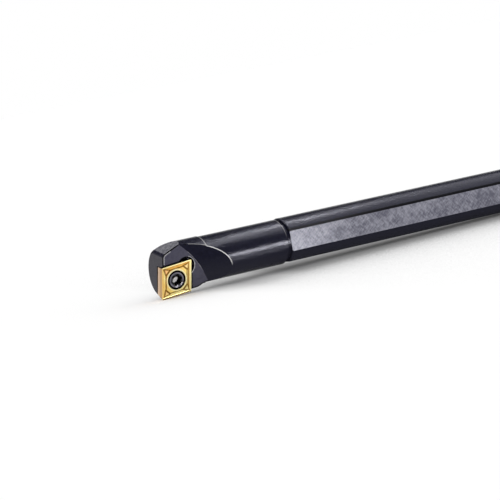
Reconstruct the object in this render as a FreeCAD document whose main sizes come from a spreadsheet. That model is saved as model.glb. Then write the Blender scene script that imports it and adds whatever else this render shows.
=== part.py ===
"""Indexable boring bar: a one-piece steel bar, a rhombic carbide insert and the screw that holds it.

Each body is drawn in a frame of its own and then placed. The bar's own frame has +X along the bar
towards its rear end, +Z up and away from the cutting side, and -Y out of the rake side, with X = 0
at the cutting corner. Placed, the centre of the rear end is the part's origin.
"""
import FreeCAD, Part
import os
import Sketcher

SIZES = [
    ("Bar", None, None),
    ("overall_length", 160.0, "cutting corner to rear end"),
    ("shank_diameter", 14.0, "ground shank, and the head before it is milled"),
    ("flat_depth", 0.72, "depth of each clamping flat under the round"),
    ("head_length", 14.7, "cutting corner to the front of the neck"),
    ("neck_length", 26.75, "slim neck between head and shoulder groove"),
    ("neck_relief", 0.2, "neck under the shank, on the radius"),
    ("groove_width", 1.2, "shoulder groove in front of the shank"),
    ("groove_depth", 0.75, "shoulder groove under the neck, on the radius"),
    ("groove_chamfer", 0.2, "front edge of the shoulder groove"),
    ("shoulder_chamfer", 0.2, "front edge of the shank"),
    ("head_chamfer", 0.15, "rear edge of the head"),
    ("rear_chamfer", 0.6, "rear end of the shank, all round"),
    ("nose_offset", 9.3, "bar axis to the cutting corner"),
    ("front_setback", 0.5, "front face behind the cutting corner"),
    ("front_angle", 4.0, "front face off square"),
    ("lead_drop", 0.8, "head under the shank at its front, on the radius"),
    ("lead_length", 4.0, "length of the head's front taper"),
    ("bulge_offset", 1.05, "axis of the eccentric head off the bar axis, along the rake face"),
    ("bulge_radius", 7.3, "eccentric head at its front"),
    ("bulge_length", 12.2, "cutting corner to the end of the eccentric head"),
    ("bulge_taper", 2.8, "backward taper of the eccentric head"),
    ("bulge_runout", 23.0, "slope from the eccentric head to the neck"),
    ("bulge_rounding", 4.0, "rounding between taper and slope"),
    ("Rake side", None, None),
    ("radial_tilt", 13.0, "rake face about the bar axis"),
    ("axial_tilt", 2.4, "rake face along the bar axis"),
    ("side_angle", 5.0, "side cutting edge to the bar axis"),
    ("chip_face_drop", 0.3, "chip face under the rake face"),
    ("gullet_start", 6.83, "cutting corner to the gullet's start on the relief flat, along the bar"),
    ("gullet_margin", 0.91, "flat chip face kept past the insert's inner corner, on its diagonal"),
    ("gullet_floor_radius", 31.4, "gullet axis to the edge of the flat chip face"),
    ("gullet_radius", 18.7, "rise of the gullet from the chip face"),
    ("gullet_entry", 14.8, "angle between chip face and gullet"),
    ("back_flat_angle", 24.2, "relief flat on the back of the head"),
    ("back_flat_height", 3.54, "relief flat above the bar axis at the cutting corner"),
    ("front_corner_radius", 1.5, "corner of the front face and the relief flat"),
    ("edge_break", 0.3, "broken edge of the chip face"),
    ("Insert pocket", None, None),
    ("seat_clearance", 0.12, "insert to pocket wall at the floor"),
    ("pocket_wall_angle", 9.5, "pocket wall off square to the floor"),
    ("relief_radius", 2.83, "corner relief of the pocket"),
    ("relief_overrun", 0.39, "corner relief past the insert's inner corner"),
    ("Insert", None, None),
    ("inscribed_circle", 9.525, "size of the rhombus"),
    ("corner_angle", 80.0, "cutting corner"),
    ("insert_thickness", 3.97, ""),
    ("flank_angle", 7.0, "clearance of the flanks"),
    ("corner_radius", 0.4, "cutting corners"),
    ("hole_diameter", 4.4, "fixing hole"),
    ("hole_mouth", 5.84, "fixing hole at the rake face"),
    ("seat_half_angle", 20.0, "countersink of the fixing hole, and head of the screw"),
    ("rim_width", 0.38, "land along the cutting edges"),
    ("breaker_depth", 0.17, "chipbreaker groove"),
    ("breaker_slope", 45.0, "walls of the chipbreaker groove, off square"),
    ("plateau_inset", 1.35, "edge of the middle plateau behind the cutting edge"),
    ("plateau_cut", 1.3, "corner cuts of the plateau"),
    ("plateau_drop", 0.06, "plateau under the ring round the hole"),
    ("ring_width", 0.38, "raised ring round the hole"),
    ("bump_length", 1.1, "corner bump along the diagonal"),
    ("bump_width", 1.3, "corner bump across the diagonal"),
    ("bump_gap", 0.35, "corner bump to the plateau"),
    ("Clamp screw", None, None),
    ("thread_diameter", 3.5, ""),
    ("thread_clearance", 0.03, "screw in its hole, on the radius"),
    ("screw_length", 8.0, "top of the head to the tip"),
    ("screw_drop", 0.02, "top of the head under the rake face"),
    ("head_gap", 0.14, "gap round the head at the mouth of the insert's hole"),
    ("head_edge", 0.05, "straight rim of the head"),
    ("bevel_width", 0.35, "sloping rim round the head's flat top"),
    ("seat_gap", 0.02, "head to countersink, along the screw"),
    ("tip_chamfer", 0.4, ""),
    ("recess_core", 2.8, "six-lobe recess between its lobes"),
    ("lobe_radius", 0.44, ""),
    ("recess_turn", 10.0, "recess turned in the insert"),
    ("recess_depth", 1.5, ""),
    ("lobes", 6, "number of lobes"),
]

# Reach of cuts that run out past the bar on every side.
FAR = "(Sizes.shank_diameter + Sizes.nose_offset)"

SIDE = "(Sizes.inscribed_circle / sin(Sizes.corner_angle))"
SHANK_R = "(Sizes.shank_diameter / 2)"
NECK_R = "(Sizes.shank_diameter / 2 - Sizes.neck_relief)"
FLAT_R = "(Sizes.shank_diameter / 2 - Sizes.flat_depth)"
SHOULDER = "(Sizes.head_length + Sizes.neck_length + Sizes.groove_width)"

# The rake frame sits on the cutting corner: +X back along the bar, +Y up, +Z out of the rake face.
RAKE = ("placement(vector(0; 0; -Sizes.nose_offset);"
        " rotation(-Sizes.axial_tilt; 0; 90 + Sizes.radial_tilt))")
# The same turn about the bar, on the bar's axis.
AXIS_IN_RAKE_PLANE = "placement(vector(0; 0; 0); rotation(0; 0; 90 + Sizes.radial_tilt))"
ALONG_BAR = "placement(vector(-Sizes.overall_length; 0; 0); rotation(0; 0; 0))"
INSERT_CENTRE = (f"{SIDE} / 2 * (cos(Sizes.side_angle) + cos(Sizes.side_angle + Sizes.corner_angle))",
                 f"{SIDE} / 2 * (sin(Sizes.side_angle) + sin(Sizes.side_angle + Sizes.corner_angle))")

INSERT_INNER_CORNER = (f"2 * ({INSERT_CENTRE[0]})", f"2 * ({INSERT_CENTRE[1]})")


def in_rake_frame(x="0", y="0", z="0", turn="0", tip="0"):
    """Placement expression of a frame inside the rake frame, turned about its Z and then tipped about X."""
    return f"{RAKE} * placement(vector({x}; {y}; {z}); rotation({turn}; 0; {tip}))"


def make_sheet(doc):
    sheet = doc.addObject("Spreadsheet::Sheet", "Sizes")
    for row, (name, value, note) in enumerate(SIZES, start=1):
        sheet.set(f"A{row}", name)
        if value is not None:
            sheet.set(f"B{row}", str(value))
            sheet.setAlias(f"B{row}", name)
            sheet.set(f"C{row}", note)
    doc.recompute()
    return sheet


def make_body(doc, label, placement):
    body = doc.addObject("PartDesign::Body", label)
    body.Label = label
    body.setExpression("Placement", placement)
    return body


def make_sketch(body, name, plane, offset=None):
    """Sketch on one of the body's origin planes, moved off it by a placement expression."""
    sketch = body.newObject("Sketcher::SketchObject", name)
    support = next(part for part in body.Origin.OriginFeatures if part.Role == plane)
    sketch.AttachmentSupport = [(support, "")]
    sketch.MapMode = "FlatFace"
    if offset:
        sketch.setExpression("AttachmentOffset", offset)
    return sketch


def bind(sketch, constraint, expression):
    index = sketch.addConstraint(constraint)
    sketch.setExpression(f"Constraints[{index}]", expression)


def add_outline(sketch, corners, arcs=None):
    """Closed outline through corners given as pairs of expressions.

    arcs maps the number of a side to the expression of its radius; a positive one bends to the
    right of the way the outline runs.
    """
    arcs = arcs or {}
    value = sketch.evalExpression
    points = [FreeCAD.Vector(float(value(x)), float(value(y)), 0) for x, y in corners]
    ids = []
    for number, start in enumerate(points):
        end = points[(number + 1) % len(points)]
        if number in arcs:
            radius = float(value(arcs[number]))
            half = (end - start) * 0.5
            across = FreeCAD.Vector(half.y, -half.x, 0).normalize() * (1 if radius > 0 else -1)
            sag = abs(radius) - (radius * radius - half.Length ** 2) ** 0.5
            curve = Part.Arc(start, start + half + across * sag, end)
        else:
            curve = Part.LineSegment(start, end)
        ids.append(sketch.addGeometry(curve, False))
    firsts = [start_of(sketch, geo, point) for geo, point in zip(ids, points)]
    for number, geo in enumerate(ids):
        following = (number + 1) % len(ids)
        sketch.addConstraint(
            Sketcher.Constraint("Coincident", geo, 3 - firsts[number], ids[following], firsts[following]))
    for number, (geo, (x, y)) in enumerate(zip(ids, corners)):
        point = points[number]
        bind(sketch, Sketcher.Constraint("DistanceX", -1, 1, geo, firsts[number], point.x), x)
        bind(sketch, Sketcher.Constraint("DistanceY", -1, 1, geo, firsts[number], point.y), y)
        if number in arcs:
            radius = abs(float(value(arcs[number])))
            bind(sketch, Sketcher.Constraint("Radius", geo, radius), f"abs({arcs[number]})")


def start_of(sketch, geo, point):
    """1 if the curve starts at the point, 2 if it ends there: arcs always run anticlockwise."""
    return 1 if sketch.getPoint(geo, 1).distanceToPoint(point) < 1e-6 else 2


def add_circle(sketch, x, y, radius):
    value = sketch.evalExpression
    centre = FreeCAD.Vector(float(value(x)), float(value(y)), 0)
    size = float(value(radius))
    geo = sketch.addGeometry(Part.Circle(centre, FreeCAD.Vector(0, 0, 1), size), False)
    bind(sketch, Sketcher.Constraint("DistanceX", -1, 1, geo, 3, centre.x), x)
    bind(sketch, Sketcher.Constraint("DistanceY", -1, 1, geo, 3, centre.y), y)
    bind(sketch, Sketcher.Constraint("Radius", geo, size), radius)


def revolve(body, kind, name, sketch, axis):
    feature = body.newObject(f"PartDesign::{kind}", name)
    feature.Profile = sketch
    feature.ReferenceAxis = (sketch, [axis])
    feature.Angle = 360
    return finish(body, feature, removes=kind == "Groove")


def cut(body, name, sketch, length=None, reverse=False, both=False, taper=None):
    """Pocket of the sketch: to a length, through all, or through all both ways."""
    feature = body.newObject("PartDesign::Pocket", name)
    feature.Profile = sketch
    if length is None:
        feature.Type = "ThroughAll"
    else:
        feature.setExpression("Length", length)
    feature.Reversed = reverse
    feature.Midplane = both
    if taper:
        feature.setExpression("TaperAngle", taper)
    return finish(body, feature, removes=True)


def finish(body, feature, removes):
    """Rebuild, and check that the feature added or took away material."""
    before = 0.0 if body.Shape.isNull() else body.Shape.Volume
    body.Document.recompute()
    check(feature)
    change = body.Shape.Volume - before
    if (change >= 0) if removes else (change <= 0):
        raise RuntimeError(f"{feature.Name} changed the volume by {change:.4f}")
    return feature


def check(item):
    if "Invalid" in item.State or "Error" in item.State:
        raise RuntimeError(f"{item.Name} failed: {item.State}")
    shape = getattr(item, "Shape", None)
    if shape is not None and (shape.isNull() or not shape.isValid()):
        raise RuntimeError(f"{item.Name} has a bad shape")


def round_edges(body, name, base, picked, radius):
    feature = body.newObject("PartDesign::Fillet", name)
    feature.Base = (base, picked)
    feature.setExpression("Radius", radius)
    return finish(body, feature, removes=True)


def break_edges(body, name, base, picked, size):
    feature = body.newObject("PartDesign::Chamfer", name)
    feature.Base = (base, picked)
    feature.setExpression("Size", size)
    return finish(body, feature, removes=True)


def edge_names(feature, wanted):
    """Names of the edges for which wanted(edge) is true."""
    return [f"Edge{n}" for n, edge in enumerate(feature.Shape.Edges, start=1) if wanted(edge)]


def rhombus(inset="0", cut_back=None):
    """Corners of the insert's outline about its centre, moved inwards, with its corners cut off if asked."""
    half = f"({SIDE} / 2 - ({inset}) / sin(Sizes.corner_angle))"
    lean = "cos(Sizes.corner_angle)"
    rise = "sin(Sizes.corner_angle)"
    corners = [(f"{half} * ({i} + ({j}) * {lean})", f"{half} * ({j}) * {rise}")
               for i, j in ((-1, -1), (1, -1), (1, 1), (-1, 1))]
    if cut_back is None:
        return corners
    ways = [(1, 0), (0, 1), (-1, 0), (0, -1)]
    cut_corners = []
    for number, (x, y) in enumerate(corners):
        for i, j in (ways[(number + 3) % 4], ways[number]):
            # The way back along the side that ends here, then the way on along the next one.
            sign = -1 if (i, j) == ways[(number + 3) % 4] else 1
            cut_corners.append((f"{x} + {sign} * {cut_back} * (({i}) + ({j}) * {lean})",
                                f"{y} + {sign} * {cut_back} * ({j}) * {rise}"))
    return cut_corners


def turn_blank(body):
    """The bar as it leaves the lathe, with the eccentric head turned about its own axis."""
    head_r = f"({SHANK_R} - Sizes.lead_drop)"
    groove_r = f"({NECK_R} - Sizes.groove_depth)"
    sketch = make_sketch(body, "turned_profile", "XZ_Plane")
    add_outline(sketch, [
        ("0", "0"),
        ("0", head_r),
        ("Sizes.lead_length", SHANK_R),
        ("Sizes.head_length - Sizes.head_chamfer", SHANK_R),
        ("Sizes.head_length", f"{SHANK_R} - Sizes.head_chamfer"),
        ("Sizes.head_length", NECK_R),
        ("Sizes.head_length + Sizes.neck_length - Sizes.groove_chamfer", NECK_R),
        ("Sizes.head_length + Sizes.neck_length", f"{NECK_R} - Sizes.groove_chamfer"),
        ("Sizes.head_length + Sizes.neck_length", groove_r),
        (SHOULDER, groove_r),
        (SHOULDER, f"{SHANK_R} - Sizes.shoulder_chamfer"),
        (f"{SHOULDER} + Sizes.shoulder_chamfer", SHANK_R),
        ("Sizes.overall_length", SHANK_R),
        ("Sizes.overall_length", "0"),
    ])
    revolve(body, "Revolution", "turned_bar", sketch, "H_Axis")

    rear_r = "(Sizes.bulge_radius - Sizes.bulge_length * tan(Sizes.bulge_taper))"
    tangent = "(Sizes.bulge_rounding * tan((Sizes.bulge_runout - Sizes.bulge_taper) / 2))"
    # The slope ends inside the neck.
    end_r = f"({NECK_R} - Sizes.bulge_offset - Sizes.neck_relief)"
    end_x = f"(Sizes.bulge_length + ({rear_r} - {end_r}) / tan(Sizes.bulge_runout))"
    bulge = make_sketch(body, "bulge_profile", "XY_Plane",
                        f"{AXIS_IN_RAKE_PLANE} * placement(vector(0; -Sizes.bulge_offset; 0); rotation(0; 0; 0))")
    add_outline(bulge, [
        ("0", "0"),
        ("0", "Sizes.bulge_radius"),
        (f"Sizes.bulge_length - {tangent} * cos(Sizes.bulge_taper)",
         f"{rear_r} + {tangent} * sin(Sizes.bulge_taper)"),
        (f"Sizes.bulge_length + {tangent} * cos(Sizes.bulge_runout)",
         f"{rear_r} - {tangent} * sin(Sizes.bulge_runout)"),
        (end_x, end_r),
        (end_x, "0"),
    ], arcs={2: "-Sizes.bulge_rounding"})
    revolve(body, "Revolution", "eccentric_head", bulge, "H_Axis")


def mill_flats(body):
    """Flats on the rake side, on the side across from it, and on the cutting side."""
    sketch = make_sketch(body, "flat_profile", "YZ_Plane",
                         f"placement(vector(0; 0; {SHOULDER}); rotation(0; 0; 0))")
    # Seen from the rear: a channel open at the top leaves three sides flat.
    outer = FAR
    add_outline(sketch, [
        (f"-{FLAT_R}", outer),
        (f"-{FLAT_R}", f"-{FLAT_R}"),
        (FLAT_R, f"-{FLAT_R}"),
        (FLAT_R, outer),
        (outer, outer),
        (outer, f"-{outer}"),
        (f"-{outer}", f"-{outer}"),
        (f"-{outer}", outer),
    ])
    flats = cut(body, "clamping_flats", sketch, length="Sizes.overall_length", reverse=True)

    # The rear edge is broken last, so that it follows the round and the flats.
    rear_face = max(flats.Shape.Faces, key=lambda face: face.CenterOfMass.x)
    rim = edge_names(flats, lambda edge: is_edge_of(edge, rear_face))
    break_edges(body, "rear_edge_break", flats, rim, "Sizes.rear_chamfer")


def mill_head(body):
    """Front face, chip face, gullet and the relief flat on the back of the head."""
    front = make_sketch(body, "front_profile", "XZ_Plane")
    low = f"(-{FAR})"
    add_outline(front, [
        (f"Sizes.front_setback + tan(Sizes.front_angle) * ({low} + Sizes.nose_offset)", low),
        (f"Sizes.front_setback + tan(Sizes.front_angle) * ({FAR} + Sizes.nose_offset)", FAR),
        (f"-{FAR}", FAR),
        (f"-{FAR}", low),
    ])
    cut(body, "front_face", front, both=True)

    back = make_sketch(body, "back_flat_profile", "XY_Plane", in_rake_frame())
    add_outline(back, [
        (f"-{FAR}", relief_line(f"(-{FAR})")),
        (f"2 * {FAR}", relief_line(f"2 * {FAR}")),
        (f"-{FAR}", relief_line(f"2 * {FAR}")),
    ])
    flat = cut(body, "back_relief_flat", back, both=True)

    front_face, relief_flat = front_and_relief(flat.Shape)
    corner = edge_names(flat, lambda edge: is_edge_of(edge, front_face) and is_edge_of(edge, relief_flat))
    round_edges(body, "front_corner", flat, corner, "Sizes.front_corner_radius")

    # One cutter, turning square to the rake face, leaves the flat chip face and the gullet round it.
    # The edge of the chip face is its circle through two points: past the insert, and on the relief flat.
    inner_x, inner_y = INSERT_INNER_CORNER
    diagonal = "(Sizes.side_angle + Sizes.corner_angle / 2)"
    near_x = f"({inner_x} + Sizes.gullet_margin * cos{diagonal})"
    near_y = f"({inner_y} + Sizes.gullet_margin * sin{diagonal})"
    far_x, far_y = "Sizes.gullet_start", f"({relief_line('Sizes.gullet_start')})"
    half_dx, half_dy = f"(({far_x} - {near_x}) / 2)", f"(({far_y} - {near_y}) / 2)"
    back_off = f"sqrt(pow(Sizes.gullet_floor_radius; 2) / (pow({half_dx}; 2) + pow({half_dy}; 2)) - 1)"
    gullet = make_sketch(body, "gullet_profile", "XY_Plane",
                         in_rake_frame(f"{near_x} + {half_dx} - {back_off} * {half_dy}",
                                       f"{near_y} + {half_dy} + {back_off} * {half_dx}", tip="90"))
    wall = "(Sizes.gullet_floor_radius + Sizes.gullet_radius * (1 - sin(Sizes.gullet_entry)))"
    add_outline(gullet, [
        ("0", "-Sizes.chip_face_drop"),
        ("Sizes.gullet_floor_radius", "-Sizes.chip_face_drop"),
        (wall, "Sizes.gullet_radius * cos(Sizes.gullet_entry) - Sizes.chip_face_drop"),
        (wall, FAR),
        ("0", FAR),
    ], arcs={1: "Sizes.gullet_radius"})
    revolve(body, "Groove", "chip_face_and_gullet", gullet, "V_Axis")
    return gullet


def relief_line(x):
    """Height of the relief flat above the cutting corner, in the rake frame."""
    foot = "Sizes.nose_offset * cos(Sizes.radial_tilt) + Sizes.back_flat_height"
    return f"{foot} + {x} * tan(Sizes.back_flat_angle)"


def front_and_relief(shape):
    """The foremost and the uppermost flat face of the head."""
    flats = [face for face in shape.Faces if isinstance(face.Surface, Part.Plane)]
    front = min(flats, key=lambda face: face.CenterOfMass.x)
    relief = max(flats, key=lambda face: face.CenterOfMass.z)
    return front, relief


def is_edge_of(edge, face):
    return any(edge.isSame(other) for other in face.Edges)


def break_chip_face(body, milled, gullet):
    """Break the chip face's edges along the front face, the front corner and the relief flat."""
    to_sketch = gullet.Placement.inverse()
    floor = float(gullet.evalExpression("-Sizes.chip_face_drop"))
    radius = float(gullet.evalExpression("Sizes.front_corner_radius"))
    rounds = [face for face in milled.Shape.Faces
              if isinstance(face.Surface, Part.Cylinder) and abs(face.Surface.Radius - radius) < 1e-6]
    borders = [*front_and_relief(milled.Shape), *rounds]

    def wanted(edge):
        in_floor = all(abs(to_sketch.multVec(vertex.Point).y - floor) < 1e-4 for vertex in edge.Vertexes)
        return in_floor and any(is_edge_of(edge, face) for face in borders)

    break_edges(body, "chip_face_edge_break", milled, edge_names(milled, wanted), "Sizes.edge_break")


def mill_pocket(body):
    """Seat of the insert with its corner relief, and the tapped hole under it."""
    cx, cy = INSERT_CENTRE
    lean = "cos(Sizes.corner_angle)"
    rise = "sin(Sizes.corner_angle)"
    gap = ("(Sizes.seat_clearance + Sizes.insert_thickness"
           " * (tan(Sizes.pocket_wall_angle) - tan(Sizes.flank_angle)))")
    inner = f"({SIDE} / 2 + {gap} / {rise})"
    reach = f"({SIDE} + 2 * {FAR})"
    pocket = make_sketch(body, "pocket_profile", "XY_Plane", in_rake_frame(cx, cy, turn="Sizes.side_angle"))
    add_outline(pocket, [
        (f"{inner} * (1 + {lean})", f"{inner} * {rise}"),
        (f"{inner} * (1 + {lean}) - {reach}", f"{inner} * {rise}"),
        (f"{inner} * (1 + {lean}) - {reach} * (1 + {lean})", f"({inner} - {reach}) * {rise}"),
        (f"{inner} * (1 + {lean}) - {reach} * {lean}", f"({inner} - {reach}) * {rise}"),
    ])
    cut(body, "insert_pocket", pocket, length="Sizes.insert_thickness", taper="-Sizes.pocket_wall_angle")

    # The relief circle lies on the diagonal and runs a little past the insert's inner corner.
    reach_out = f"({SIDE} * cos(Sizes.corner_angle / 2) + Sizes.relief_overrun - Sizes.relief_radius)"
    relief = make_sketch(body, "relief_profile", "XY_Plane", in_rake_frame(cx, cy, turn="Sizes.side_angle"))
    add_circle(relief, f"{reach_out} * cos(Sizes.corner_angle / 2)", f"{reach_out} * sin(Sizes.corner_angle / 2)",
               "Sizes.relief_radius")
    cut(body, "pocket_corner_relief", relief, length="Sizes.insert_thickness")

    hole = make_sketch(body, "screw_hole_profile", "XY_Plane",
                       in_rake_frame(cx, cy, "-Sizes.insert_thickness"))
    add_circle(hole, "0", "0", "Sizes.thread_diameter / 2 + Sizes.thread_clearance")
    return cut(body, "screw_hole", hole, length=FAR)


def make_bar(doc):
    body = make_body(doc, "bar_body", ALONG_BAR)
    turn_blank(body)
    mill_flats(body)
    gullet = mill_head(body)
    milled = mill_pocket(body)
    break_chip_face(body, milled, gullet)
    return body


def make_insert(doc):
    """Rhombic insert about its hole, with its rake face at Z = 0 and its side edge along X."""
    cx, cy = INSERT_CENTRE
    body = make_body(doc, "cutting_insert", f"{ALONG_BAR} * {in_rake_frame(cx, cy, turn='Sizes.side_angle')}")
    blank = make_sketch(body, "blank_profile", "XY_Plane")
    add_outline(blank, rhombus())
    pad = body.newObject("PartDesign::Pad", "insert_blank")
    pad.Profile = blank
    pad.setExpression("Length", "Sizes.insert_thickness")
    pad.Reversed = True
    pad.setExpression("TaperAngle", "-Sizes.flank_angle")
    finish(body, pad, removes=False)

    flanks = edge_names(pad, lambda edge: abs(edge.tangentAt(edge.FirstParameter).z) > 0.5)
    round_edges(body, "corner_rounding", pad, flanks, "Sizes.corner_radius")

    seat_depth = "((Sizes.hole_mouth - Sizes.hole_diameter) / 2 / tan(Sizes.seat_half_angle))"
    bore = make_sketch(body, "hole_profile", "XZ_Plane")
    add_outline(bore, [
        ("0", "0"),
        ("Sizes.hole_mouth / 2", "0"),
        ("Sizes.hole_diameter / 2", f"-{seat_depth}"),
        ("Sizes.hole_diameter / 2", "-Sizes.insert_thickness"),
        ("0", "-Sizes.insert_thickness"),
    ])
    revolve(body, "Groove", "fixing_hole", bore, "V_Axis")
    press_chipbreaker(body)
    return body


def press_chipbreaker(body):
    """Groove inside a land, round a plateau with cut corners, with a bump in front of each corner cut."""
    lowered = make_sketch(body, "plateau_profile", "XY_Plane")
    add_outline(lowered, rhombus("Sizes.plateau_inset - Sizes.plateau_drop", "Sizes.plateau_cut"))
    add_circle(lowered, "0", "0", "Sizes.hole_mouth / 2 + Sizes.ring_width")
    cut(body, "plateau", lowered, length="Sizes.plateau_drop")

    groove = make_sketch(body, "breaker_profile", "XY_Plane")
    add_outline(groove, rhombus("Sizes.rim_width"))
    add_outline(groove, rhombus("Sizes.plateau_inset", "Sizes.plateau_cut"))
    for quarter in range(4):
        add_outline(groove, corner_bump(quarter))
    cut(body, "chipbreaker", groove, length="Sizes.breaker_depth", taper="-Sizes.breaker_slope")


def corner_bump(quarter):
    """Triangle on the diagonal in front of one corner cut of the plateau, pointing at the corner."""
    sharp = quarter % 2 == 0
    half_angle = "Sizes.corner_angle / 2" if sharp else "(90 - Sizes.corner_angle / 2)"
    heading = f"(Sizes.corner_angle / 2 + 180 + 90 * {quarter})"
    inner_side = f"({SIDE} - 2 * Sizes.plateau_inset / sin(Sizes.corner_angle))"
    base = f"({inner_side} * cos({half_angle}) - Sizes.plateau_cut * cos({half_angle}) + Sizes.bump_gap)"
    tip = f"({base} + Sizes.bump_length)"
    along = (f"cos({heading})", f"sin({heading})")
    across = (f"-sin({heading})", f"cos({heading})")
    corners = []
    for distance, side in ((base, "0.5"), (base, "-0.5"), (tip, "0")):
        corners.append(tuple(f"{distance} * {a} + {side} * Sizes.bump_width * ({b})"
                             for a, b in zip(along, across)))
    return corners


def make_screw(doc):
    """Countersunk screw about its own axis, in the insert's frame, with a six-lobe recess."""
    cx, cy = INSERT_CENTRE
    body = make_body(doc, "clamp_screw", f"{ALONG_BAR} * {in_rake_frame(cx, cy, turn='Sizes.side_angle')}")
    head_r = "(Sizes.hole_mouth / 2 - Sizes.head_gap)"
    thread_r = "(Sizes.thread_diameter / 2)"
    cone_start = "(-Sizes.head_gap / tan(Sizes.seat_half_angle) + Sizes.seat_gap)"
    cone_end = f"(-(Sizes.hole_mouth / 2 - {thread_r}) / tan(Sizes.seat_half_angle) + Sizes.seat_gap)"
    tip = "(-Sizes.screw_drop - Sizes.screw_length)"
    profile = make_sketch(body, "screw_profile", "XZ_Plane")
    add_outline(profile, [
        ("0", "-Sizes.screw_drop"),
        (f"{head_r} - Sizes.bevel_width", "-Sizes.screw_drop"),
        (head_r, f"{cone_start} + Sizes.head_edge"),
        (head_r, cone_start),
        (thread_r, cone_end),
        (thread_r, f"{tip} + Sizes.tip_chamfer"),
        (f"{thread_r} - Sizes.tip_chamfer", tip),
        ("0", tip),
    ])
    revolve(body, "Revolution", "screw_blank", profile, "V_Axis")

    top = "placement(vector(0; 0; -Sizes.screw_drop); rotation(Sizes.recess_turn; 0; 0))"
    core = make_sketch(body, "recess_profile", "XY_Plane", top)
    add_circle(core, "0", "0", "Sizes.recess_core / 2")
    cut(body, "recess_core", core, length="Sizes.recess_depth")
    lobe = make_sketch(body, "lobe_profile", "XY_Plane", top)
    add_circle(lobe, "Sizes.recess_core / 2", "0", "Sizes.lobe_radius")
    first = cut(body, "recess_lobe", lobe, length="Sizes.recess_depth")
    pattern = body.newObject("PartDesign::PolarPattern", "recess_lobes")
    pattern.Originals = [first]
    pattern.Axis = (lobe, ["N_Axis"])
    pattern.Angle = 360
    pattern.setExpression("Occurrences", "Sizes.lobes")
    body.Tip = pattern
    finish(body, pattern, removes=True)
    return body


def export(doc, bodies):
    doc.recompute()
    for item in doc.Objects:
        check(item)
    os.makedirs("parts", exist_ok=True)
    for body in bodies:
        if len(body.Shape.Solids) != 1:
            raise RuntimeError(f"{body.Label} is not one solid")
        body.Shape.exportStep(os.path.join("parts", body.Label + ".step"))
        print(body.Label, "volume", round(body.Shape.Volume, 2))


def main():
    doc = FreeCAD.newDocument("indexable_boring_bar")
    make_sheet(doc)
    export(doc, [make_bar(doc), make_insert(doc), make_screw(doc)])


main()
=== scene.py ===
"""Looks of the indexable boring bar: black oxide steel, a gold coated insert and its black screw."""
from math import cos, pi, radians, sin, tan

import bpy
from mathutils import Matrix, Vector

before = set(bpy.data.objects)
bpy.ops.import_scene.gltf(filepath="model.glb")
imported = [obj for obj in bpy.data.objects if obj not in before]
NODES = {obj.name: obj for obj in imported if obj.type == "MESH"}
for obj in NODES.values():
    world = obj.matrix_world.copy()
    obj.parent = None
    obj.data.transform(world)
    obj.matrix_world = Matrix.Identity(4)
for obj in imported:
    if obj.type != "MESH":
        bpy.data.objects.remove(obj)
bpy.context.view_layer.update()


def rgb(r, g, b):
    """A linear colour."""
    return (r, g, b, 1.0)


# Places are in metres in the part's own frame, unless stated. The bar lies along x with its cutting end at
# the lowest x, the rake side is at -y, and the cutting corner points down.
X, Y, Z = (1.0, 0.0, 0.0), (0.0, 1.0, 0.0), (0.0, 0.0, 1.0)
FRONT = (0.0, -1.0, 0.0)
NECK_END = -0.1174
HEAD_END = -0.134
CHIP_FACE_END = -0.1435
END_OUT = (-0.9976, 0.0, 0.0698)
RELIEF_OUT = (-0.418, -0.188, 0.889)

# The insert's cutting corner, and the ways along its rake face, up it and out of it.
NOSE = (-0.160, 0.0, -0.0093)
RAKE_ALONG = (0.9991, -0.0419, 0.0)
RAKE_UP = (-0.0094, -0.2248, 0.9744)
RAKE_OUT = (-0.0408, -0.9735, -0.2250)

# The insert, in millimetres and degrees: half its inscribed circle's diameter, the way that its two edges
# at the corner lie inside the ways along and up, and the middle of its hole along and up from the corner.
HALF = 9.525 / 2
LEAD = 5.0
SIDE = 9.525 / sin(radians(90.0 - 2 * LEAD))
INSERT_CENTRE = (SIDE / 2 * (cos(radians(LEAD)) + cos(radians(90.0 - LEAD))),
                 SIDE / 2 * (sin(radians(LEAD)) + sin(radians(90.0 - LEAD))))

# The bar's colours. Where there are two, the surface is mottled or striped between them, and on the side flats it
# is also painted lighter behind the neck and darker towards the rear.
ROUND = rgb(0.005, 0.005, 0.014), rgb(0.009, 0.009, 0.022)
# Painted light from the floor below, on the lower side of the rounds.
LOW_ROUND_PAINTED_LIGHT = rgb(0.020, 0.020, 0.031)
GROUND = rgb(0.12, 0.12, 0.155), rgb(0.40, 0.40, 0.46)
CHIP_FACE = rgb(0.045, 0.043, 0.067), rgb(0.085, 0.083, 0.115)
END_FACE = rgb(0.042, 0.040, 0.05), rgb(0.074, 0.072, 0.083)
MILLED = rgb(0.030, 0.030, 0.036), rgb(0.16, 0.158, 0.175)
TURNED = rgb(0.05, 0.05, 0.062), rgb(0.11, 0.11, 0.13)
# Painted shade, in the gap round the insert and along the dark edges of the bar.
PAINTED_SHADE = rgb(0.002, 0.002, 0.003)
# White, also used for the painted edge highlights on the bar.
WHITE = rgb(1.0, 1.0, 1.0)

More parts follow.
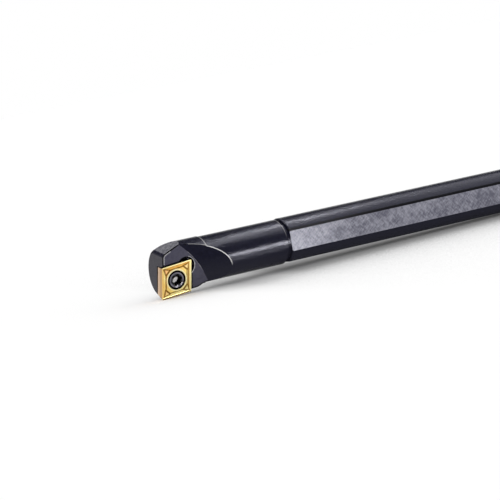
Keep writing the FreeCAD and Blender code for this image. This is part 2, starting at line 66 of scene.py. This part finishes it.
# The insert's colours. The pairs of the rim, the plateau, the ring round the hole and the corner bumps run from
# painted shade to painted light towards the lower right; those of the groove are mottled between them, and those
# of the flank run down it.
GROOVE = rgb(1.0, 0.66, 0.19), rgb(1.0, 0.86, 0.36)
GROOVE_TOP_SHADE = rgb(0.70, 0.33, 0.06), rgb(0.85, 0.52, 0.12)
GROOVE_RIGHT_LIT = rgb(0.88, 0.64, 0.22)
GROOVE_BOTTOM_LIT = rgb(1.0, 0.87, 0.38)
RIM = rgb(0.93, 0.63, 0.19), rgb(1.0, 0.90, 0.45)
RIM_TOP_HIGHLIGHT = rgb(1.0, 0.86, 0.40)
PLATEAU = rgb(0.95, 0.60, 0.17), rgb(1.0, 0.82, 0.26)
HOLE_RING_HIGHLIGHT = rgb(1.0, 0.88, 0.50), rgb(1.0, 0.90, 0.48)
CORNER_BUMPS_LIT = rgb(1.0, 0.58, 0.22), rgb(1.0, 0.86, 0.36)
SHADE_LINES = rgb(0.22, 0.095, 0.008)
HOLE_WALL_SHADE = rgb(0.05, 0.03, 0.01)
FLANK = rgb(0.68, 0.48, 0.32), rgb(0.46, 0.26, 0.08)
FLANK_STAIN = rgb(0.36, 0.19, 0.05)
POCKET_FLANK_SHADE = rgb(0.03, 0.02, 0.01)

# The screw's colours.
SCREW_BLACK_AND_SHADE = rgb(0.002, 0.002, 0.002)
SCREW_FACE = rgb(0.012, 0.015, 0.016), rgb(0.05, 0.05, 0.06)
SCREW_RIM_HIGHLIGHT = rgb(0.20, 0.195, 0.24)
RECESS_GLINT = rgb(1.0, 0.98, 1.0)
FACE_GLINT = rgb(0.85, 0.83, 0.92)

# The least cosine at which a surface counts as facing a way squarely or roughly.
FACING = 0.995
FACING_ROUGHLY = 0.5


class Graph:
    """The nodes of a material or world, and short ways to add to them."""

    def __init__(self, owner):
        owner.use_nodes = True
        self.owner = owner
        self.tree = owner.node_tree
        self.shader = next(n for n in self.tree.nodes if n.type in ("BSDF_PRINCIPLED", "BACKGROUND"))
        self.coordinates = None

    def node(self, kind, **values):
        made = self.tree.nodes.new(kind)
        for key, value in values.items():
            setattr(made, key, value)
        return made

    def put(self, target, value):
        """Links a socket or writes a constant on it."""
        if isinstance(value, bpy.types.NodeSocket):
            self.tree.links.new(value, target)
        else:
            target.default_value = value

    def set(self, **values):
        """Puts values on the shader."""
        for key, value in values.items():
            self.put(self.shader.inputs[key.replace("_", " ")], value)

    def place(self):
        if self.coordinates is None:
            self.coordinates = self.node("ShaderNodeTexCoord")
        return self.coordinates.outputs["Object"]

    def normal(self):
        return self.node("ShaderNodeNewGeometry").outputs["True Normal"]

    def math(self, operation, *values):
        made = self.node("ShaderNodeMath", operation=operation)
        for socket, value in zip(made.inputs, values):
            self.put(socket, value)
        return made.outputs[0]

    def fold(self, operation, values):
        total = values[0]
        for value in values[1:]:
            total = self.math(operation, total, value)
        return total

    def plus(self, *values):
        return self.fold("ADD", values)

    def minus(self, a, b):
        return self.math("SUBTRACT", a, b)

    def times(self, *values):
        return self.fold("MULTIPLY", values)

    def both(self, *masks):
        """A mask where all the masks hold."""
        return self.fold("MULTIPLY", masks)

    def either(self, *masks):
        """A mask where one of the masks holds."""
        return self.fold("MAXIMUM", masks)

    def absolute(self, value):
        return self.math("ABSOLUTE", value)

    def length(self, x, y):
        return self.math("SQRT", self.plus(self.times(x, x), self.times(y, y)))

    def dot(self, vector, axis):
        made = self.node("ShaderNodeVectorMath", operation="DOT_PRODUCT")
        self.put(made.inputs[0], vector)
        self.put(made.inputs[1], axis)
        return made.outputs["Value"]

    def vector_math(self, operation, vector, other):
        made = self.node("ShaderNodeVectorMath", operation=operation)
        self.put(made.inputs[0], vector)
        self.put(made.inputs[1], other)
        return made.outputs["Vector"]

    def stretched(self, vector, along):
        """Coordinates whose noise is stretched along the bar by 1 over along."""
        return self.vector_math("MULTIPLY", vector, (along, 1.0, 1.0))

    def turned(self, vector, degrees):
        """Coordinates turned about the way across the bar."""
        made = self.node("ShaderNodeVectorRotate", rotation_type="EULER_XYZ")
        self.put(made.inputs["Vector"], vector)
        made.inputs["Rotation"].default_value = (0.0, radians(degrees), 0.0)
        return made.outputs["Vector"]

    def noise(self, vector, scale, detail=2.0, roughness=0.5):
        made = self.node("ShaderNodeTexNoise")
        self.put(made.inputs["Vector"], vector)
        made.inputs["Scale"].default_value = scale
        made.inputs["Detail"].default_value = detail
        made.inputs["Roughness"].default_value = roughness
        return made.outputs["Fac"]

    def ramp(self, value, low, high, first=0.0, last=1.0):
        """Maps low..high to first..last, clamped."""
        made = self.node("ShaderNodeMapRange", clamp=True)
        for socket, number in zip(made.inputs, (value, low, high, first, last)):
            self.put(socket, number)
        return made.outputs[0]

    def above(self, value, limit):
        return self.math("GREATER_THAN", value, limit)

    def below(self, value, limit):
        return self.math("LESS_THAN", value, limit)

    def line(self, distance, width):
        """1 on a line, fading to 0 at its width on either side."""
        return self.ramp(self.absolute(distance), 0.3 * width, width, 1.0, 0.0)

    def spot(self, x, y, at_x, at_y, radius):
        """1 in a round spot, fading to 0 at its radius."""
        away = self.length(self.minus(x, at_x), self.minus(y, at_y))
        return self.ramp(away, radius, 0.7 * radius)

    def facing(self, axis, least=FACING):
        """1 where the surface faces along the axis."""
        return self.above(self.dot(self.normal(), axis), least)

    def edge(self, radius, least):
        """1 near a sharp edge, where rounding it by the radius would turn the surface."""
        bevel = self.node("ShaderNodeBevel", samples=8)
        bevel.inputs["Radius"].default_value = radius
        same = self.dot(bevel.outputs["Normal"], self.normal())
        return self.ramp(same, 1.0 - least, 1.0 - 3 * least)

    def mix(self, factor, a, b):
        """A colour between two colours."""
        made = self.node("ShaderNodeMix", data_type="RGBA")
        self.put(made.inputs[0], factor)
        self.put(made.inputs[6], a)
        self.put(made.inputs[7], b)
        return made.outputs[2]

    def blend(self, factor, a, b):
        """A number between two numbers."""
        made = self.node("ShaderNodeMix", data_type="FLOAT")
        self.put(made.inputs[0], factor)
        self.put(made.inputs[2], a)
        self.put(made.inputs[3], b)
        return made.outputs[0]

    def bump(self, height, distance):
        made = self.node("ShaderNodeBump")
        made.inputs["Strength"].default_value = 1.0
        made.inputs["Distance"].default_value = distance
        self.put(made.inputs["Height"], height)
        return made.outputs["Normal"]


class InsertPlace:
    """Where a point lies on the insert, in millimetres from the middle of its hole unless stated."""

    def __init__(self, g):
        own = g.vector_math("SUBTRACT", g.place(), NOSE)
        own = g.vector_math("MULTIPLY", own, (1000.0, 1000.0, 1000.0))
        x = g.minus(g.dot(own, RAKE_ALONG), INSERT_CENTRE[0])
        y = g.minus(g.dot(own, RAKE_UP), INSERT_CENTRE[1])

        def along(degrees):
            turn = radians(degrees)
            return g.plus(g.times(x, cos(turn)), g.times(y, sin(turn)))

        # Height over the rake face. Side and rise go from -1 to 1 between the edges, and inset is the way in
        # from the nearest edge. Long and short run along the two diagonals.
        self.height = g.dot(own, RAKE_OUT)
        self.side = g.math("DIVIDE", along(-LEAD), HALF)
        self.rise = g.math("DIVIDE", along(90.0 + LEAD), HALF)
        farthest = g.either(g.absolute(self.side), g.absolute(self.rise))
        self.inset = g.times(g.minus(1.0, farthest), HALF)
        self.radius = g.length(x, y)
        self.long = along(45.0)
        self.short = along(135.0)


class BarPlace:
    """Where a point lies on the bar, and masks of the bar's faces."""

    def __init__(self, g):
        place = g.place()
        self.x, self.y, self.z = g.dot(place, X), g.dot(place, Y), g.dot(place, Z)
        self.insert = InsertPlace(g)
        self.rake_way = g.dot(g.normal(), RAKE_OUT)
        self.shank = g.above(self.x, NECK_END)
        self.head = g.below(self.x, HEAD_END)
        self.side_flats = g.both(self.shank, g.either(g.facing(FRONT), g.facing(Y)))
        self.rear_face = g.both(self.shank, g.facing(X))
        self.chip_face = g.both(g.below(self.x, CHIP_FACE_END), g.above(self.rake_way, FACING))
        self.end_face = g.both(self.head, g.facing(END_OUT))
        self.relief_flat = g.both(self.head, g.facing(RELIEF_OUT))
        self.flats = g.either(self.side_flats, self.chip_face, self.end_face, self.relief_flat, self.rear_face)
        # How far a point lies behind the plane of the end face.
        end_way = max(Vector(END_OUT).dot(v.co) for v in NODES["bar_body"].data.vertices)
        self.behind_end = g.minus(end_way, g.dot(place, END_OUT))


def grinding_marks_and_painted_light(g, x):
    """Fine crossed lines and a broad mottling on the side flats, with painted light that is palest behind the neck
    and painted shade towards the rear.
    """
    rising = g.noise(g.stretched(g.turned(g.place(), 40.0), 0.25), scale=2600.0, detail=3.0)
    falling = g.noise(g.stretched(g.turned(g.place(), -50.0), 0.25), scale=2300.0, detail=3.0)
    mottle = g.noise(g.stretched(g.place(), 0.5), scale=260.0, detail=4.0, roughness=0.65)
    # Painted light just behind the neck and painted shade towards the rear.
    painted_light_end = g.ramp(x, -0.115, -0.108, 0.05, -0.02)
    painted_shade_rest = g.ramp(x, -0.104, -0.06, 0.0, -0.045)
    marks = g.plus(g.times(g.plus(rising, falling), 0.32), g.times(mottle, 0.36), painted_light_end, painted_shade_rest)
    return g.ramp(marks, 0.36, 0.64)


def turning_marks(g, bar):
    """Fine rings on the rear face."""
    pitch = 0.0006
    return g.ramp(g.math("SINE", g.times(g.length(bar.y, bar.z), 2 * pi / pitch)), -1.0, 1.0)


def upper_line(g, bar):
    """The painted shade line along the upper edge of the front flat."""
    return g.both(bar.shank, g.below(bar.y, -0.0045), g.ramp(bar.z, 0.00285, 0.003), g.ramp(bar.z, 0.0039, 0.0036))


def painted_shade_lines(g, bar):
    """Painted shade in the gap round the insert and on the edges of the head that lie in the dark."""
    gap_shade = g.both(bar.chip_face, g.above(bar.insert.inset, -0.5))
    behind_insert = g.both(bar.chip_face, g.edge(0.0008, 0.002), g.below(bar.z, -0.0035),
                           g.above(bar.insert.side, 1.1))
    # Painted shade on the outer part of the chip face's broken edge.
    broken = g.both(bar.head, g.above(bar.rake_way, 0.5), g.below(bar.rake_way, 0.95), g.below(bar.x, -0.151))
    end_edge = g.both(bar.relief_flat, g.below(bar.behind_end, 0.0005))
    return g.either(gap_shade, broken, upper_line(g, bar), end_edge, behind_insert)


def painted_edge_highlights(g, bar):
    """Painted highlights along the edges on the front of the bar."""
    gullet = g.both(bar.head, g.edge(0.00033, 0.004), g.ramp(bar.z, 0.0035, 0.0045, 1.0, 0.6),
                    g.above(bar.x, -0.1505), g.below(bar.y, 0.002), g.ramp(bar.z, -0.0032, -0.0018),
                    g.ramp(bar.x, -0.147, -0.1445, 0.35, 1.0))
    neck_rear = g.both(g.above(bar.x, -0.11895), g.below(bar.x, -0.1185), g.below(bar.y, 0.0),
                       g.ramp(bar.z, 0.001, 0.005), 0.22)
    chip_border = g.both(bar.chip_face, g.edge(0.0006, 0.002), g.below(bar.x, -0.1560),
                         g.below(bar.insert.inset, -0.7), 0.45)
    corner_relief = g.both(bar.chip_face, g.edge(0.00036, 0.015), g.above(bar.insert.side, 1.05),
                           g.below(bar.insert.rise, 0.75), g.above(bar.insert.rise, 0.1), 0.8)
    return g.either(gullet, neck_rear, chip_border, corner_relief)


def black_oxide():
    """Black on the rounds, paler on the flats, with painted light on the lower rounds, painted shade lines and
    painted edge highlights.
    """
    g = Graph(bpy.data.materials.new("black_oxide_steel"))
    place = g.place()
    bar = BarPlace(g)
    grain = g.noise(place, scale=900.0, detail=4.0, roughness=0.6)
    milled = g.ramp(g.noise(g.stretched(place, 0.08), scale=2600.0, detail=3.0), 0.35, 0.65)
    color = g.mix(g.ramp(grain, 0.3, 0.7), *ROUND)
    # Painted light: the rounds are paler towards the bottom, as if lit from the floor.
    color = g.mix(g.ramp(bar.z, 0.001, -0.0045), color, LOW_ROUND_PAINTED_LIGHT)
    color = g.mix(bar.side_flats, color, g.mix(grinding_marks_and_painted_light(g, bar.x), *GROUND))
    color = g.mix(bar.chip_face, color, g.mix(grain, *CHIP_FACE))
    color = g.mix(bar.end_face, color, g.mix(grain, *END_FACE))
    color = g.mix(bar.relief_flat, color, g.mix(milled, *MILLED))
    color = g.mix(bar.rear_face, color, g.mix(turning_marks(g, bar), *TURNED))
    # Painted shade in the gap round the insert and along the dark edges.
    color = g.mix(painted_shade_lines(g, bar), color, PAINTED_SHADE)
    # Painted highlights along the edges.
    color = g.mix(painted_edge_highlights(g, bar), color, WHITE)

    # The rounds are not quite smooth, so that their highlights are mottled.
    fine = g.noise(g.stretched(place, 0.3), scale=1500.0, detail=4.0, roughness=0.7)
    broad = g.noise(g.stretched(place, 0.4), scale=380.0)
    waves = g.bump(g.plus(fine, g.times(broad, 1.1)), distance=0.00008)
    rounds_rough = g.blend(bar.shank, 0.14, 0.17)
    rough = g.either(g.blend(bar.flats, rounds_rough, 0.5), g.times(upper_line(g, bar), 0.9))
    g.set(Base_Color=color, Roughness=rough, IOR=1.18, Normal=waves)
    return g.owner


def bump_depth(g, outward, across, base):
    """How far inside the bump on one diagonal, in millimetres: a triangle that points at the corner."""
    height, half_base_per_height, side_cosine = 1.1, 0.59, 0.86
    flare = g.times(g.minus(base + height, outward), half_base_per_height)
    sides = g.times(g.minus(flare, g.absolute(across)), side_cosine)
    return g.math("MINIMUM", g.minus(outward, base), sides)


def gold_coat():
    """Gold, with painted light and shade on the pressed chipbreaker, painted shade along its lines, in the hole
    and on the flanks in the pocket, and stained flanks.
    """
    g = Graph(bpy.data.materials.new("gold_coating"))
    at = InsertPlace(g)
    out = g.dot(g.normal(), RAKE_OUT)
    cloud = g.ramp(g.noise(g.place(), scale=420.0, detail=3.0, roughness=0.6), 0.35, 0.65)
    long, short = g.absolute(at.long), g.absolute(at.short)

    # How far inside the plateau's outline with its cut corners, and inside the corner bumps.
    plateau = g.fold("MINIMUM", (g.minus(at.inset, 1.35), g.minus(4.31, long), g.minus(3.62, short)))
    bump = g.either(bump_depth(g, long, short, 4.66), bump_depth(g, short, long, 3.97))

    # Each side of the groove slopes its own way: the top side is painted in shade, and the right and bottom sides
    # are painted as lit.
    right = g.above(g.minus(at.side, g.absolute(at.rise)), 0.0)
    bottom = g.above(g.minus(g.times(at.rise, -1.0), g.absolute(at.side)), 0.0)
    top = g.above(g.minus(at.rise, g.absolute(at.side)), 0.0)
    # Painted light, brighter towards the lower right.
    lit_to_lower_right = g.ramp(g.minus(at.side, at.rise), -0.8, 0.8)
    groove = g.mix(top, g.mix(cloud, *GROOVE), g.mix(cloud, *GROOVE_TOP_SHADE))
    groove = g.mix(bottom, g.mix(right, groove, GROOVE_RIGHT_LIT), GROOVE_BOTTOM_LIT)
    # The rim is painted lighter towards the lower right, with a painted highlight along its top.
    rim = g.mix(top, g.mix(lit_to_lower_right, *RIM), RIM_TOP_HIGHLIGHT)

    # The plateau is painted lighter towards the lower right; the ring round the hole and the corner bumps are
    # painted highlights.
    color = g.mix(g.above(plateau, 0.0), groove, g.mix(lit_to_lower_right, *PLATEAU))
    color = g.mix(g.below(at.radius, 3.32), color, g.mix(lit_to_lower_right, *HOLE_RING_HIGHLIGHT))
    color = g.mix(g.below(at.inset, 0.40), color, rim)
    color = g.mix(g.above(bump, -0.12), color, g.mix(lit_to_lower_right, *CORNER_BUMPS_LIT))

    # Painted shade: lines round the plateau and the bumps and along the right side, and a dark lower edge.
    lines = g.either(g.line(plateau, 0.26), g.line(g.plus(bump, 0.2), 0.24),
                     g.both(right, g.line(g.minus(at.inset, 0.85), 0.22)))
    lines = g.either(g.both(lines, g.above(at.radius, 3.42)), g.both(bottom, g.below(at.inset, 0.34)))
    color = g.mix(g.times(lines, 0.95), color, SHADE_LINES)
    # Painted shade on the walls of the hole.
    color = g.mix(g.both(g.below(at.radius, 2.98), g.below(out, 0.95)), color, HOLE_WALL_SHADE)

    # The flanks, and the two of them in the pocket, which are painted in shade.
    flank = g.below(out, 0.4)
    flank_color = g.mix(g.ramp(at.height, -2.9, -1.6), *FLANK)
    color = g.mix(flank, color, g.mix(g.times(cloud, 0.35), flank_color, FLANK_STAIN))
    in_pocket = g.either(g.facing(RAKE_UP, FACING_ROUGHLY), g.facing(RAKE_ALONG, FACING_ROUGHLY))
    color = g.mix(g.both(flank, in_pocket), color, POCKET_FLANK_SHADE)
    g.set(Base_Color=color, Metallic=1.0, Roughness=0.32)
    return g.owner


def black_screw():
    """Black, deep enough to paint shade on the bevel and in the recess, with a painted highlight on the rim of the
    face, a painted glint on the floor of the recess and two small ring-shaped painted glints on the face.
    """
    g = Graph(bpy.data.materials.new("black_screw_steel"))
    at = InsertPlace(g)
    face = g.both(g.below(at.radius, 2.3), g.above(at.height, -0.05))
    rim = g.both(face, g.ramp(at.radius, 1.75, 2.0), g.ramp(g.noise(g.place(), scale=500.0), 0.3, 0.6, 0.35, 1.0))
    grain = g.noise(g.place(), scale=1200.0, detail=3.0)
    # The screw's own black, made deep enough to paint the shade on the bevel round the face and in the recess.
    color = g.mix(face, SCREW_BLACK_AND_SHADE, g.mix(grain, *SCREW_FACE))
    # A painted highlight on the rim of the face.
    color = g.mix(rim, color, SCREW_RIM_HIGHLIGHT)

    # A painted glint on one side of the floor of the recess.
    recess_floor = g.both(g.below(at.height, -1.49), g.above(at.height, -1.6))
    glint = g.spot(g.times(at.long, 0.6), at.short, -0.06, -0.34, 0.68)
    color = g.mix(g.both(recess_floor, glint), color, RECESS_GLINT)

    # Two small painted glints on the face, each a bright ring.
    for long, short in ((0.11, -2.18), (-1.38, -1.24)):
        outer, inner = (g.spot(at.long, at.short, long, short, radius) for radius in (0.48, 0.22))
        color = g.mix(g.both(g.minus(outer, inner), face), color, FACE_GLINT)
    g.set(Base_Color=color, Roughness=0.3, IOR=1.1)
    return g.owner


def add_camera():
    """The photo's camera, from a fit to the bar's edges."""
    yaw, pitch, roll = radians(29.05), radians(4.74), radians(10.14)
    position = (-0.43583, -0.55375, 0.05201)
    forward = Vector((cos(pitch) * sin(yaw), cos(pitch) * cos(yaw), -sin(pitch)))
    level = Vector((cos(yaw), -sin(yaw), 0.0))
    down = Vector((-sin(pitch) * sin(yaw), -sin(pitch) * cos(yaw), -cos(pitch)))
    right = cos(roll) * level + sin(roll) * down
    below = cos(roll) * down - sin(roll) * level
    data = bpy.data.cameras.new("camera")
    data.sensor_width = 36.0
    data.lens = 153.6
    data.clip_start = 0.01
    data.clip_end = 100.0
    camera = bpy.data.objects.new("camera", data)
    bpy.context.scene.collection.objects.link(camera)
    turn = Matrix((right, -below, -forward)).transposed()
    camera.matrix_world = Matrix.Translation(position) @ turn.to_4x4()
    bpy.context.scene.camera = camera


def floor_material():
    """White, with a painted shadow of the bar that deepens its real shadow and fades towards the cutting corner.
    """
    g = Graph(bpy.data.materials.new("white_floor_with_painted_shadow"))
    open_sky = g.node("ShaderNodeAmbientOcclusion", samples=8)
    open_sky.inputs["Distance"].default_value = 0.2
    # Painted shadow: the floor is darkened where the bar hides the sky.
    white = g.math("POWER", g.ramp(open_sky.outputs["AO"], 0.70, 0.98), 2.5)
    x = g.dot(g.place(), X)
    # The painted shadow is kept paler towards the cutting corner.
    least = g.plus(g.ramp(x, -0.150, -0.137, 0.40, 0.0), g.ramp(x, -0.126, -0.118, 0.57, 0.3))
    white = g.either(g.ramp(white, 0.0, 1.0, 0.3, 1.0), least)

    # The camera and gloss see the painted, deepened shadow, and bounced light doesn't.
    rays = g.node("ShaderNodeLightPath")
    seen = g.either(rays.outputs["Is Camera Ray"], rays.outputs["Is Glossy Ray"])
    white = g.times(g.blend(seen, 1.0, white), 0.96)
    tone = g.node("ShaderNodeCombineColor")
    for socket in tone.inputs:
        g.put(socket, white)
    seen = g.either(seen, rays.outputs["Is Transmission Ray"])
    g.set(Base_Color=tone.outputs[0], Roughness=0.9, Specular_IOR_Level=0.0,
          Emission_Color=WHITE, Emission_Strength=g.times(seen, 0.05))
    return g.owner


def add_floor():
    """A plain floor under the bar, which rests on its nose and on the rear edge of its lower flat."""
    nose = Vector((-0.15996, 0.0, -0.00928))
    rear = Vector((-0.0006, 0.0, -0.00628))
    along = (rear - nose).normalized()
    centre = nose + along * 0.08
    reach = 6.0
    corners = [centre + along * a * reach + Vector((0.0, b * reach, 0.0))
               for a, b in ((-1, -1), (1, -1), (1, 1), (-1, 1))]
    mesh = bpy.data.meshes.new("floor")
    mesh.from_pydata(corners, [], [(0, 1, 2, 3)])
    mesh.materials.append(floor_material())
    floor = bpy.data.objects.new("floor", mesh)
    bpy.context.scene.collection.objects.link(floor)


def add_world():
    """Plain white all round. In gloss alone it is dim high up behind the bar, as over a dark flag."""
    world = bpy.data.worlds.new("studio")
    g = Graph(world)
    parts = g.node("ShaderNodeSeparateXYZ")
    g.put(parts.inputs[0], g.node("ShaderNodeTexCoord").outputs["Generated"])
    # From straight up towards the back.
    angle = g.math("ARCTAN2", parts.outputs["Y"], parts.outputs["Z"])
    flag = g.both(g.ramp(angle, radians(15.0), radians(28.0)), g.ramp(angle, radians(70.0), radians(60.0)),
                  g.node("ShaderNodeLightPath").outputs["Is Glossy Ray"])
    g.set(Color=WHITE, Strength=g.ramp(flag, 0.0, 1.0, 1.0, 0.12))
    bpy.context.scene.world = world


# How far along the bar for each step out from it, on the rays that it mirrors to the camera.
VIEW_SLANT = 0.553


def add_highlight(name, first, last, low, high, distance, radiance, slant=VIEW_SLANT, spread=180.0):
    """A light that only gloss shows.

    The bar mirrors it between two places along it and between two angles round it in degrees, where 0 is
    level in front and 90 straight up. A narrow spread keeps it out of the views from behind.
    """
    middle = radians((low + high) / 2)
    way = Vector((0.0, -cos(middle), sin(middle)))
    length, height = last - first, 2 * distance * tan(radians(high - low) / 2)
    data = bpy.data.lights.new(name, "AREA")
    data.shape = "RECTANGLE"
    data.size = length
    data.size_y = height
    data.color = (0.90, 0.90, 1.0)
    data.spread = radians(spread)
    data.energy = radiance * length * height * pi
    light = bpy.data.objects.new(name, data)
    bpy.context.scene.collection.objects.link(light)
    light.visible_camera = False
    light.visible_diffuse = False
    centre = Vector(((first + last) / 2 + slant * distance, 0.0, 0.0)) + way * distance
    turn = Matrix((Vector(X), way.cross(Vector(X)), way)).transposed()
    light.matrix_world = Matrix.Translation(centre) @ turn.to_4x4()


MATERIALS = {"bar_body": black_oxide(), "cutting_insert": gold_coat(), "clamp_screw": black_screw()}
for name, piece in NODES.items():
    piece.data.materials.clear()
    piece.data.materials.append(MATERIALS[name])

add_camera()
add_floor()
add_world()

# Far above the bar.
add_highlight("neck_light", -0.20, -0.120, 57, 82, 0.3, 15.0)
add_highlight("shank_light", -0.120, -0.102, 83, 100, 0.3, 42.0)
add_highlight("shank_core", -0.1175, -0.106, 89, 98, 0.3, 130.0)
add_highlight("rear_light", -0.098, 0.14, 46, 122, 0.3, 3.3)
# Low and close in front of it.
add_highlight("low_strip", -0.150, -0.118, -9, -4, 0.035, 65.0, spread=80.0)
add_highlight("low_core", -0.1275, -0.1200, -8, -5, 0.035, 200.0, spread=80.0)
add_highlight("low_glow", -0.150, -0.119, -42, -18, 0.018, 4.5, spread=80.0)
add_highlight("insert_glow", -0.163, -0.147, -25, 5, 0.03, 1.5, spread=80.0)
# Above its back, for the sides that the photo doesn't show.
add_highlight("back_light", -0.45, -0.04, 98, 130, 0.3, 9.0, slant=0.0)

bpy.context.scene.view_settings.view_transform = "Standard"
